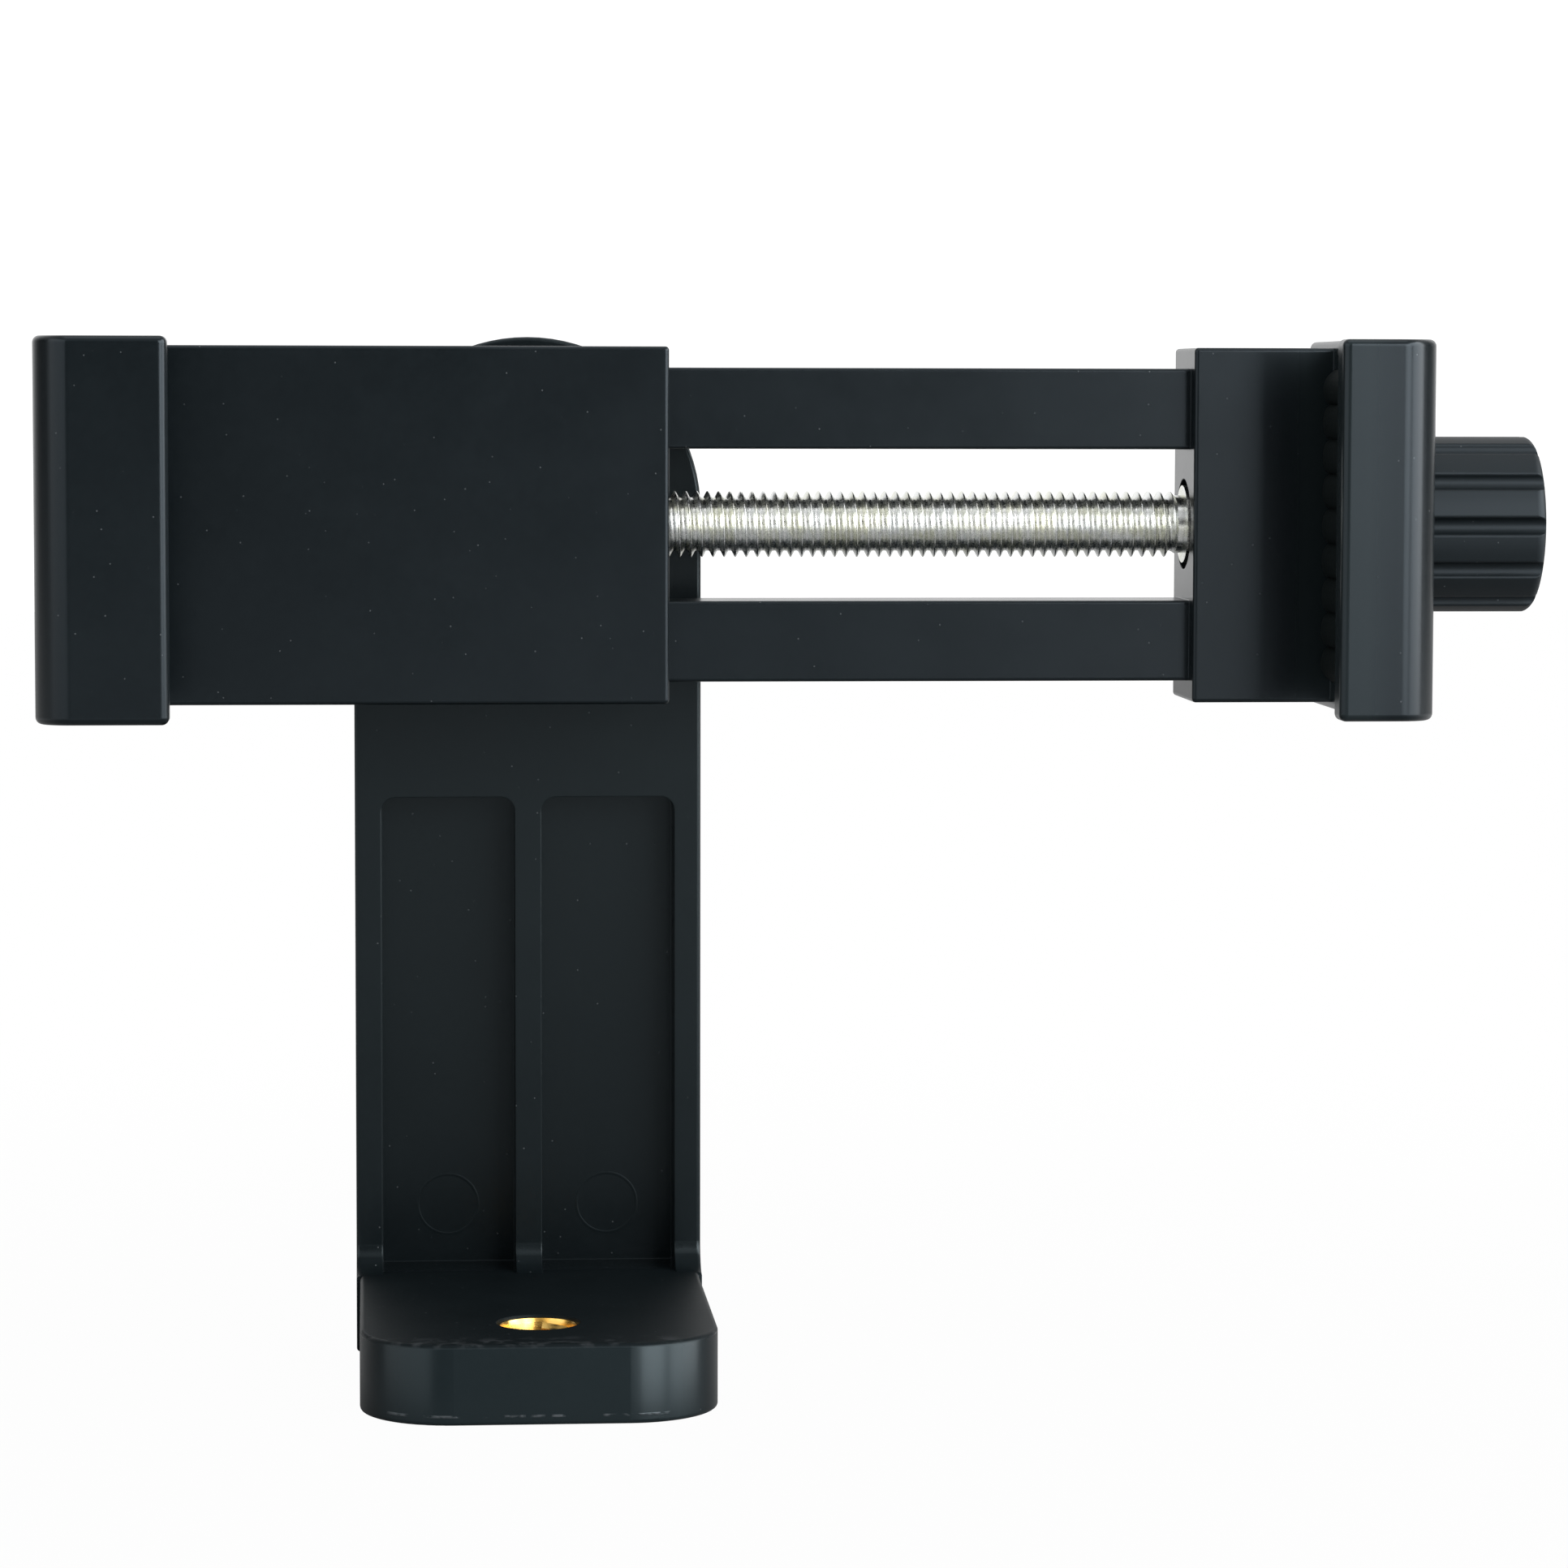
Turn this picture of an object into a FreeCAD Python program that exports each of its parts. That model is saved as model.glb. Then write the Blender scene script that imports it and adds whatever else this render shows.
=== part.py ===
import FreeCAD, Part
import math
import os

# Tripod phone mount adapter: an L bracket that screws onto a tripod, and a screw clamp that swivels on it.
# Millimetres. The origin lies on the tripod thread's axis, in the plane of the foot's underside.
# +X runs along the clamp towards its knob, +Y runs from the phone towards the swivel knob, +Z is up.

Vec = FreeCAD.Vector
X_AXIS = Vec(1, 0, 0)
Y_AXIS = Vec(0, 1, 0)
Z_AXIS = Vec(0, 0, 1)

# Bracket: foot, leg and half-round head
bracket_width = 31.8
foot_thickness = 7.0
foot_reach = 10.4  # tripod axis to the foot's front edge
foot_corner_radius = 8.0
foot_side_inset = 0.35  # the foot is this much narrower than the leg on each side
leg_setback = 26.8  # tripod axis to the leg's front plane
recess_depth = 5.1
recess_web = 2.6  # wall left behind each recess
recess_top = 50.9
recess_corner_radius = 1.3
side_rail_width = 2.4
centre_rib_width = 2.4
rib_flare_radius = 2.5
heel_radius = 3.0
bracket_edge_radius = 0.35
pivot_height = 77.15

# Threaded insert for the tripod's quarter-inch screw
insert_outer_diameter = 9.0
insert_bore_diameter = 6.35
insert_mouth_diameter = 6.7
insert_flange_diameter = 7.4
insert_flange_thickness = 0.5
insert_sink = 0.25  # the insert's top lies this far below the foot's top

# Clamp body and its fixed jaw
screw_setback = 18.2  # tripod axis to the lead screw's axis
pivot_rise = 0.95  # swivel axis above the lead screw's axis
pivot_to_mouth = 12.15
body_length = 55.1
body_height = 31.8
front_wall = 1.8
end_wall = 1.75
mouth_wall = 1.65
cover_thickness = 2.0
cover_edge_radius = 0.8
body_edge_radius = 0.35
screw_channel_clearance = 0.3

# Jaws: both have a wall and a lip
jaw_overhang = 0.65  # how far the jaws stand proud of the body, above and below
jaw_reach = 17.35  # body's front plane to the lips' front face
lip_thickness = 3.3
fixed_jaw_wall = 6.7
fixed_lip_width = 11.45
moving_jaw_wall = 6.25
moving_lip_width = 8.65
jaw_outer_radius = 3.0
lip_tip_radius = 0.7
jaw_inner_radius = 0.8
jaw_edge_radius = 0.6

# Moving jaw: its plate and two guide rails
jaw_opening = 47.1  # body's mouth to the plate's end face, with the clamp wide open
plate_length = 12.55
plate_thickness = 11.5
plate_edge_radius = 0.35
rail_height = 7.24
rail_depth = 7.6
rail_spacing = 20.84  # between the rails' centre lines
rail_engagement = 5.75  # rail inside the body, with the clamp wide open
rail_clearance = 0.3
rail_edge_radius = 0.3

# Ribbed rubber pads
pad_base = 0.5
pad_ridge_height = 0.75
pad_ridge_pitch = 3.1
pad_ridge_count = 9
pad_end_margin = 1.3
pad_side_clearance = 0.3

# Lead screw, its nut and its bearing in the moving jaw
thread_diameter = 6.0
thread_clearance = 0.1  # on the diameter, where a plain bore stands for a cut thread
screw_engagement = 5.7
thread_runout = 0.85  # plain shank between the last thread and the plate
shank_diameter = 5.2
bore_clearance = 0.4
tip_chamfer = 0.8
nut_width = 10.0
nut_thickness = 5.0
nut_clearance = 0.1
nut_chamfer = 0.5
plate_counterbore_diameter = 8.2
plate_counterbore_depth = 0.8
ring_outer_diameter = 7.0
ring_thickness = 0.85
ring_groove_diameter = 4.4
ring_gap_width = 2.6
ring_clearance = 0.1
thrust_washer_diameter = 12.0
thrust_washer_thickness = 0.9
thrust_washer_proud = 0.3
washer_seat_clearance = 0.4

# Clamp knob
flute_edge_radius = 0.25  # on both knobs
knob_diameter = 16.0
knob_length = 12.7
knob_flute_count = 12
knob_flute_width = 1.5
knob_flute_depth = 0.75
knob_edge_radius = 0.9
screw_head_diameter = 8.0
screw_head_length = 7.0
screw_head_inset = 2.2

# Swivel: bolt held in the rear cover, friction ring, washers and knob
bolt_diameter = 6.0
bolt_head_width = 9.0
bolt_head_thickness = 2.0
bolt_head_clearance = 0.15
bolt_head_screw_gap = 0.35
bolt_hole_diameter = 6.4
boss_diameter = 24.0
boss_edge_radius = 0.5
friction_ring_outer = 22.0
friction_ring_inner = 12.0
friction_ring_thickness = 1.6
friction_ring_proud = 0.6
flat_washer_diameter = 16.0
flat_washer_thickness = 1.2
spring_washer_diameter = 10.6
spring_washer_thickness = 1.5
spring_washer_split = 1.2
swivel_knob_diameter = 25.0
swivel_knob_length = 11.0
swivel_knob_flute_count = 16
swivel_knob_flute_width = 1.6
swivel_knob_flute_depth = 0.9
swivel_knob_hub_diameter = 15.0
swivel_knob_hub_length = 2.0
swivel_knob_edge_radius = 1.2
swivel_nut_diameter = 9.0
swivel_nut_length = 8.0
swivel_nut_flange_diameter = 11.0
swivel_nut_flange_thickness = 1.0
bolt_end_margin = 0.7  # the bolt stops this far short of the nut's inner end

# Screws that hold the rear cover
cover_screw_diameter = 1.8
cover_screw_head_diameter = 3.6
cover_screw_head_height = 0.9
cover_screw_length = 6.5
cover_screw_from_end = 6.0
cover_screw_from_pivot = 9.0
cover_screw_recess_depth = 0.5
cover_screw_recess_width = 0.5

# Heights and depths that follow
half_width = bracket_width / 2
foot_half_width = half_width - foot_side_inset
head_top = pivot_height + half_width
flare_front = leg_setback - rib_flare_radius
insert_top = foot_thickness - insert_sink
insert_shoulder = insert_top - insert_flange_thickness
jaw_height = body_height + 2 * jaw_overhang
leg_back = leg_setback + recess_depth + recess_web
screw_height = pivot_height - pivot_rise
body_left = pivot_to_mouth - body_length
rail_half_gap = rail_spacing / 2
cavity_half_depth = rail_depth / 2 + rail_clearance
body_front = screw_setback - cavity_half_depth - front_wall
cover_front = screw_setback + cavity_half_depth
cover_back = cover_front + cover_thickness
lip_front = body_front - jaw_reach
lip_back = lip_front + lip_thickness
jaw_top = screw_height + jaw_height / 2
jaw_bottom = screw_height - jaw_height / 2
body_top = screw_height + body_height / 2
body_bottom = screw_height - body_height / 2
fixed_jaw_face = body_left + fixed_jaw_wall
plate_end = pivot_to_mouth + jaw_opening
moving_jaw_face = plate_end + plate_length
moving_jaw_outer = moving_jaw_face + moving_jaw_wall
cavity_end = body_left + end_wall
channel_half_height = thread_diameter / 2 + screw_channel_clearance
tunnel_half_height = rail_height / 2 + rail_clearance
guide_rib_height = (channel_half_height + rail_half_gap - tunnel_half_height) / 2
knob_start = moving_jaw_outer + thrust_washer_proud
knob_end = knob_start + knob_length
nut_end = pivot_to_mouth - mouth_wall - nut_clearance
nut_start = nut_end - nut_thickness
bolt_head_front = screw_setback + thread_diameter / 2 + bolt_head_screw_gap
bolt_head_back = bolt_head_front + bolt_head_thickness
ring_seat = leg_setback - friction_ring_proud
spring_washer_front = leg_back + flat_washer_thickness
swivel_knob_front = spring_washer_front + spring_washer_thickness
swivel_knob_back = swivel_knob_front + swivel_knob_length
swivel_nut_back = swivel_knob_front + swivel_nut_length
bolt_end = swivel_nut_back - bolt_end_margin
screw_axis = Vec(0, screw_setback, screw_height)
pivot = Vec(0, 0, pivot_height)


def block(x0, x1, y0, y1, z0, z1):
    """Box between two corners."""
    return Part.makeBox(x1 - x0, y1 - y0, z1 - z0, Vec(x0, y0, z0))


def turned(profile, centre, axis):
    """Solid of revolution from (distance along the axis, radius) pairs."""
    side = X_AXIS if abs(axis.z) > 0.5 else Z_AXIS
    points = [centre + axis * along + side * radius for along, radius in profile]
    solid = Part.Face(Part.makePolygon(points + points[:1])).revolve(centre, axis, 360)
    if solid.Volume < 0:
        solid.reverse()
    return solid


def rod(start, end, diameter, centre, axis):
    """Plain round bar or hole along an axis."""
    return Part.makeCylinder(diameter / 2, end - start, centre + axis * start, axis)


def tube(start, end, outer, inner, centre, axis):
    """Plain ring along an axis."""
    return rod(start, end, outer, centre, axis).cut(rod(start, end, inner, centre, axis))


def rounded_face(corners):
    """Face from (point, corner radius) pairs, where the radius is zero at a sharp corner."""
    count = len(corners)
    trims = []
    for index, (point, radius) in enumerate(corners):
        to_last = (corners[index - 1][0] - point).normalize()
        to_next = (corners[(index + 1) % count][0] - point).normalize()
        half_angle = to_last.getAngle(to_next) / 2
        if radius > 0:
            reach = radius / math.tan(half_angle)
            bisector = (to_last + to_next).normalize()
            middle = point + bisector * (radius / math.sin(half_angle) - radius)
            trims.append((point + to_last * reach, middle, point + to_next * reach))
        else:
            trims.append((point, None, point))
    edges = []
    for index, (start, middle, end) in enumerate(trims):
        if middle is not None:
            edges.append(Part.Arc(start, middle, end).toShape())
        following = trims[(index + 1) % count][0]
        if (following - end).Length > 1e-6:
            edges.append(Part.makeLine(end, following))
    return Part.Face(Part.Wire(edges))


def sharp_edges(shape, wanted=None):
    """Edges where two faces meet at an angle, and whose middle passes the test wanted."""
    found = []
    for edge in shape.Edges:
        middle = edge.valueAt((edge.FirstParameter + edge.LastParameter) / 2)
        if wanted is not None and not wanted(middle):
            continue
        faces = shape.ancestorsOfType(edge, Part.Face)
        if len(faces) != 2:
            continue
        normals = [face.normalAt(*face.Surface.parameter(middle)) for face in faces]
        if normals[0].dot(normals[1]) < 0.99:
            found.append(edge)
    return found


def softened(shape, radius, wanted=None):
    """The shape with its wanted sharp edges rounded."""
    return shape.makeFillet(radius, sharp_edges(shape, wanted))


def near(value, target):
    """True where two lengths are the same but for rounding."""
    return abs(value - target) < 1e-4


def leg_blank():
    """Leg with its heel and the flare towards the foot, its top trimmed to a half-round head."""
    side = rounded_face([
        (Vec(-half_width, flare_front, 0), 0),
        (Vec(-half_width, flare_front, foot_thickness), 0),
        (Vec(-half_width, leg_setback, foot_thickness), rib_flare_radius),
        (Vec(-half_width, leg_setback, head_top), 0),
        (Vec(-half_width, leg_back, head_top), 0),
        (Vec(-half_width, leg_back, 0), heel_radius),
    ]).extrude(X_AXIS * bracket_width)
    outline = Part.Face(Part.Wire([
        Part.makeLine(Vec(-half_width, flare_front, 0), Vec(-half_width, flare_front, pivot_height)),
        Part.Arc(
            Vec(-half_width, flare_front, pivot_height),
            Vec(0, flare_front, head_top),
            Vec(half_width, flare_front, pivot_height),
        ).toShape(),
        Part.makeLine(Vec(half_width, flare_front, pivot_height), Vec(half_width, flare_front, 0)),
        Part.makeLine(Vec(half_width, flare_front, 0), Vec(-half_width, flare_front, 0)),
    ])).extrude(Y_AXIS * (leg_back - flare_front))
    leg = side.common(outline).removeSplitter()
    return softened(leg, bracket_edge_radius, lambda p: not near(p.y, flare_front))


def foot_blank():
    """Flat foot with two rounded corners, a little narrower than the leg that it runs into."""
    foot = rounded_face([
        (Vec(-foot_half_width, leg_setback, 0), 0),
        (Vec(-foot_half_width, -foot_reach, 0), foot_corner_radius),
        (Vec(foot_half_width, -foot_reach, 0), foot_corner_radius),
        (Vec(foot_half_width, leg_setback, 0), 0),
    ]).extrude(Z_AXIS * foot_thickness)
    return softened(foot, bracket_edge_radius, lambda p: not near(p.y, leg_setback))


def recess_tool(x0, x1):
    """Cutter for one recess, rounded at its two upper corners and open towards the foot."""
    tool = block(x0, x1, flare_front - 1, leg_setback + recess_depth, foot_thickness, recess_top)
    return softened(tool, recess_corner_radius, lambda p: near(p.z, recess_top) and (near(p.x, x0) or near(p.x, x1)))


def make_bracket():
    """Moulded L bracket with two recesses, the insert's hole and the swivel's hole and ring seat."""
    bracket = leg_blank().fuse(foot_blank()).removeSplitter()
    recess_outer = half_width - side_rail_width
    bracket = bracket.cut(recess_tool(-recess_outer, -centre_rib_width / 2))
    bracket = bracket.cut(recess_tool(centre_rib_width / 2, recess_outer))
    bracket = bracket.cut(turned([
        (-1, 0),
        (-1, insert_outer_diameter / 2),
        (insert_shoulder, insert_outer_diameter / 2),
        (insert_shoulder, insert_flange_diameter / 2),
        (foot_thickness + 1, insert_flange_diameter / 2),
        (foot_thickness + 1, 0),
    ], Vec(0, 0, 0), Z_AXIS))
    bracket = bracket.cut(rod(leg_setback - 1, leg_back + 1, bolt_hole_diameter, pivot, Y_AXIS))
    seat = tube(leg_setback - 1, ring_seat + friction_ring_thickness,
                friction_ring_outer, friction_ring_inner, pivot, Y_AXIS)
    return bracket.cut(seat)


def make_tripod_insert():
    """Brass threaded insert, open at both ends, with a lead-in at its upper mouth."""
    lead = (insert_mouth_diameter - insert_bore_diameter) / 2
    return turned([
        (0, insert_bore_diameter / 2),
        (0, insert_outer_diameter / 2),
        (insert_shoulder, insert_outer_diameter / 2),
        (insert_shoulder, insert_flange_diameter / 2),
        (insert_top, insert_flange_diameter / 2),
        (insert_top, insert_mouth_diameter / 2),
        (insert_top - lead * 2, insert_bore_diameter / 2),
    ], Vec(0, 0, 0), Z_AXIS)


def make_friction_ring():
    """Flat ring that stands proud of its seat in the bracket's head and grips the clamp's boss."""
    return tube(ring_seat, ring_seat + friction_ring_thickness,
                friction_ring_outer, friction_ring_inner, pivot, Y_AXIS)


def jaw_section(outer, face, tip, back):
    """Hook-shaped prism of a jaw, seen from above: wall, rounded outer corner and lip."""
    section = rounded_face([
        (Vec(outer, back, jaw_bottom), 0),
        (Vec(outer, lip_front, jaw_bottom), jaw_outer_radius),
        (Vec(tip, lip_front, jaw_bottom), lip_tip_radius),
        (Vec(tip, lip_back, jaw_bottom), lip_tip_radius),
        (Vec(face, lip_back, jaw_bottom), jaw_inner_radius),
        (Vec(face, back, jaw_bottom), 0),
    ]).extrude(Z_AXIS * jaw_height)
    return softened(section, jaw_edge_radius, lambda p: (near(p.z, jaw_bottom) or near(p.z, jaw_top))
                    and not near(p.y, back) and not near(p.x, face))


def rail_tunnel(side):
    """Guide tunnel for one rail, open at the body's mouth."""
    middle = screw_height + side * rail_half_gap
    return block(cavity_end, pivot_to_mouth + 1, screw_setback - cavity_half_depth, cover_front + 1,
                 middle - tunnel_half_height, middle + tunnel_half_height)


def cover_screw_places():
    """Points on the rear cover's back where its four screws stand."""
    stations = (body_left + cover_screw_from_end, -cover_screw_from_pivot)
    return [Vec(x, cover_back, screw_height + side * guide_rib_height) for x in stations for side in (-1, 1)]


def square_pocket(width, y0, y1):
    """Square recess round the swivel axis."""
    half = width / 2
    return block(-half, half, y0, y1, pivot_height - half, pivot_height + half)


def nut_pocket():
    """Slot that traps the square nut between the mouth and the guide ribs."""
    half = nut_width / 2 + nut_clearance
    return block(nut_start - nut_clearance, nut_end + nut_clearance, screw_setback - half, screw_setback + half,
                 screw_height - half, screw_height + half)


def make_clamp_body():
    """Front moulding of the clamp: fixed jaw, two rail tunnels, screw channel and nut slot."""
    shell = block(body_left, pivot_to_mouth, body_front, cover_front, body_bottom, body_top)
    shell = softened(shell, body_edge_radius, lambda p: not near(p.y, cover_front) and not near(p.x, body_left))
    body = shell.fuse(jaw_section(body_left, fixed_jaw_face, body_left + fixed_lip_width, cover_front))
    body = body.removeSplitter()
    for side in (-1, 1):
        body = body.cut(rail_tunnel(side))
    channel = block(cavity_end, nut_start, screw_setback - cavity_half_depth, cover_front + 1,
                    screw_height - channel_half_height, screw_height + channel_half_height)
    body = body.cut(channel)
    body = body.cut(nut_pocket())
    body = body.cut(rod(nut_start, pivot_to_mouth + 1, 2 * channel_half_height, screw_axis, X_AXIS))
    body = body.cut(square_pocket(bolt_head_width + 2 * bolt_head_clearance,
                                  bolt_head_front - bolt_head_clearance, cover_front + 1))
    for place in cover_screw_places():
        body = body.cut(rod(-cover_screw_length, 0, cover_screw_diameter, place, Y_AXIS))
    return body


def make_rear_cover():
    """Back plate of the clamp with the swivel's boss, the bolt head's pocket and four screw seats."""
    plate = block(body_left, pivot_to_mouth, cover_front, cover_back, body_bottom, body_top)
    plate = softened(plate, cover_edge_radius, lambda p: near(p.y, cover_back))
    boss = rod(cover_back - cover_thickness / 2, ring_seat, boss_diameter, pivot, Y_AXIS)
    boss = softened(boss, boss_edge_radius, lambda p: near(p.y, ring_seat))
    cover = plate.fuse(boss)
    cover = cover.cut(rod(cover_front - 1, ring_seat + 1, bolt_hole_diameter, pivot, Y_AXIS))
    cover = cover.cut(square_pocket(bolt_head_width + 2 * bolt_head_clearance, cover_front - 1, bolt_head_back))
    cover = cover.cut(nut_pocket())
    for place in cover_screw_places():
        cover = cover.cut(cover_screw_blank(place))
    return cover


def cover_screw_blank(place):
    """Countersunk screw without its driver recess."""
    return turned([
        (0, 0),
        (0, cover_screw_head_diameter / 2),
        (-cover_screw_head_height, cover_screw_diameter / 2),
        (-cover_screw_length, cover_screw_diameter / 2),
        (-cover_screw_length, 0),
    ], place, Y_AXIS)


def make_cover_screws():
    """Four countersunk screws with cross recesses."""
    screws = []
    reach = cover_screw_head_diameter / 3
    half = cover_screw_recess_width / 2
    for place in cover_screw_places():
        depth = place.y - cover_screw_recess_depth
        across = block(place.x - reach, place.x + reach, depth, place.y + 1, place.z - half, place.z + half)
        upright = block(place.x - half, place.x + half, depth, place.y + 1, place.z - reach, place.z + reach)
        screws.append(cover_screw_blank(place).cut(across).cut(upright))
    return Part.makeCompound(screws)


def make_screw_nut():
    """Square nut, its corners chamfered on the side that faces the mouth."""
    half = nut_width / 2
    nut = block(nut_start, nut_end, screw_setback - half, screw_setback + half,
                screw_height - half, screw_height + half)
    dome = turned([
        (nut_start, 0),
        (nut_start, half * math.sqrt(2)),
        (nut_end - nut_chamfer, half * math.sqrt(2)),
        (nut_end, half),
        (nut_end, 0),
    ], screw_axis, X_AXIS)
    nut = nut.common(dome)
    return nut.cut(rod(nut_start - 1, nut_end + 1, thread_diameter + thread_clearance, screw_axis, X_AXIS))


def make_swivel_bolt():
    """Square-headed bolt whose head lies behind the lead screw."""
    head = square_pocket(bolt_head_width, bolt_head_front, bolt_head_back)
    shank = turned([
        (bolt_head_back, 0),
        (bolt_head_back, bolt_diameter / 2),
        (bolt_end - tip_chamfer, bolt_diameter / 2),
        (bolt_end, bolt_diameter / 2 - tip_chamfer),
        (bolt_end, 0),
    ], pivot, Y_AXIS)
    return head.fuse(shank)


def make_pad(face, out):
    """Ribbed rubber pad on a jaw's inner face; out is the way it faces along X."""
    half_pitch = pad_ridge_pitch / 2
    count = pad_ridge_count
    foot = half_pitch * count
    front = lip_back + jaw_inner_radius
    back = body_front - pad_side_clearance

    def at(stand, height):
        return Vec(face + out * stand, front, screw_height + height)

    edges = [Part.makeLine(at(0, foot), at(0, -foot))]
    edges.append(Part.makeLine(at(0, -foot), at(pad_base, -foot)))
    for index in range(count):
        low = -foot + index * pad_ridge_pitch
        high = low + pad_ridge_pitch
        crest = pad_base + pad_ridge_height
        edges.append(Part.Arc(at(pad_base, low), at(crest, low + half_pitch), at(pad_base, high)).toShape())
    edges.append(Part.makeLine(at(pad_base, foot), at(0, foot)))
    ribbed = Part.Face(Part.Wire(edges)).extrude(Y_AXIS * (back - front))
    rounded = block(min(face, face + out * 2), max(face, face + out * 2), front, back,
                    screw_height - foot, screw_height + foot)
    rounded = softened(rounded, pad_end_margin, lambda p: not near(abs(p.x - face), 0) and not near(
        abs(p.x - face), 2))
    return ribbed.common(rounded)


def make_moving_jaw():
    """Moving jaw with its plate, two guide rails, the screw's bore and the seats of ring and washer."""
    plate_back = body_front + plate_thickness
    plate = block(plate_end, moving_jaw_face, body_front, plate_back, body_bottom, body_top)
    plate = softened(plate, plate_edge_radius, lambda p: not near(p.x, moving_jaw_face))
    jaw = jaw_section(moving_jaw_outer, moving_jaw_face, moving_jaw_outer - moving_lip_width, plate_back)
    jaw = jaw.fuse(plate)
    for side in (-1, 1):
        middle = screw_height + side * rail_half_gap
        tip = pivot_to_mouth - rail_engagement
        rail = block(tip, plate_end + plate_edge_radius, screw_setback - rail_depth / 2,
                     screw_setback + rail_depth / 2, middle - rail_height / 2, middle + rail_height / 2)
        rail = softened(rail, rail_edge_radius, lambda p: not near(p.x, plate_end + plate_edge_radius))
        jaw = jaw.fuse(rail)
    jaw = jaw.removeSplitter()
    jaw = jaw.cut(rod(plate_end - 1, moving_jaw_outer + 1, shank_diameter + bore_clearance, screw_axis, X_AXIS))
    jaw = jaw.cut(rod(plate_end - 1, plate_end + plate_counterbore_depth, plate_counterbore_diameter,
                      screw_axis, X_AXIS))
    seat = moving_jaw_outer + thrust_washer_proud - thrust_washer_thickness
    return jaw.cut(rod(seat, moving_jaw_outer + 1, thrust_washer_diameter + washer_seat_clearance,
                       screw_axis, X_AXIS))


def make_thrust_washer():
    """Steel washer between the moving jaw and the knob."""
    return tube(knob_start - thrust_washer_thickness, knob_start, thrust_washer_diameter,
                shank_diameter + bore_clearance, screw_axis, X_AXIS)


def make_lead_screw():
    """Clamp screw: threaded length, plain shank with the ring's groove, and a head buried in the knob."""
    tip = pivot_to_mouth - screw_engagement
    thread_end = plate_end - thread_runout
    ring_end = plate_end + plate_counterbore_depth - ring_clearance
    ring_start = ring_end - ring_thickness
    head_start = knob_start + screw_head_inset
    major = thread_diameter / 2
    shank = shank_diameter / 2
    return turned([
        (tip, 0),
        (tip, major - tip_chamfer),
        (tip + tip_chamfer, major),
        (thread_end, major),
        (thread_end + major - shank, shank),
        (ring_start, shank),
        (ring_start, ring_groove_diameter / 2),
        (ring_end, ring_groove_diameter / 2),
        (ring_end, shank),
        (head_start, shank),
        (head_start, screw_head_diameter / 2),
        (head_start + screw_head_length, screw_head_diameter / 2),
        (head_start + screw_head_length, 0),
    ], screw_axis, X_AXIS)


def make_retaining_ring():
    """Split ring in the screw's groove, its gap at the back, which keeps the screw from leaving the jaw."""
    end = plate_end + plate_counterbore_depth - ring_clearance
    ring = tube(end - ring_thickness, end, ring_outer_diameter, ring_groove_diameter, screw_axis, X_AXIS)
    half = ring_gap_width / 2
    gap = block(end - ring_thickness - 1, end + 1, screw_setback, screw_setback + ring_outer_diameter,
                screw_height - half, screw_height + half)
    return ring.cut(gap)


def fluted_knob(start, end, diameter, edge_radius, flute_count, flute_width, flute_depth, centre, axis):
    """Round knob with rounded rims and straight flutes, their edges rounded, all along its grip."""
    grip = rod(start, end, diameter, centre, axis)
    root = centre + axis * (start - 1) + Z_AXIS * (diameter / 2 + flute_width / 2 - flute_depth)
    for index in range(flute_count):
        flute = Part.makeCylinder(flute_width / 2, end - start + 2, root, axis)
        flute.rotate(centre, axis, 360 * index / flute_count)
        grip = grip.cut(flute)
    half_way = (start + end) / 2
    grip = softened(grip, flute_edge_radius, lambda p: near((p - centre).dot(axis), half_way))
    return grip.common(softened(rod(start, end, diameter, centre, axis), edge_radius))


def make_clamp_knob():
    """Fluted knob moulded round the lead screw's head."""
    knob = fluted_knob(knob_start, knob_end, knob_diameter, knob_edge_radius,
                       knob_flute_count, knob_flute_width, knob_flute_depth, screw_axis, X_AXIS)
    head_start = knob_start + screw_head_inset
    knob = knob.cut(rod(knob_start - 1, head_start, shank_diameter, screw_axis, X_AXIS))
    return knob.cut(rod(head_start, head_start + screw_head_length, screw_head_diameter, screw_axis, X_AXIS))


def make_flat_washer():
    """Plain washer on the bracket's back."""
    return tube(leg_back, spring_washer_front, flat_washer_diameter, bolt_hole_diameter, pivot, Y_AXIS)


def make_spring_washer():
    """Split spring washer, pressed flat."""
    washer = tube(spring_washer_front, swivel_knob_front, spring_washer_diameter, bolt_hole_diameter,
                  pivot, Y_AXIS)
    half = spring_washer_split / 2
    return washer.cut(block(-half, half, spring_washer_front - 1, swivel_knob_front + 1,
                            pivot_height, pivot_height + spring_washer_diameter))


def make_swivel_knob():
    """Fluted locking knob with a narrower hub towards the bracket and a bore for its nut."""
    grip_start = swivel_knob_front + swivel_knob_hub_length
    knob = fluted_knob(grip_start, swivel_knob_back, swivel_knob_diameter, swivel_knob_edge_radius,
                       swivel_knob_flute_count, swivel_knob_flute_width, swivel_knob_flute_depth, pivot, Y_AXIS)
    knob = knob.fuse(rod(swivel_knob_front, grip_start + 1, swivel_knob_hub_diameter, pivot, Y_AXIS))
    flange_end = swivel_knob_front + swivel_nut_flange_thickness
    knob = knob.cut(rod(swivel_knob_front - 1, flange_end, swivel_nut_flange_diameter, pivot, Y_AXIS))
    return knob.cut(rod(flange_end, swivel_nut_back, swivel_nut_diameter, pivot, Y_AXIS))


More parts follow.
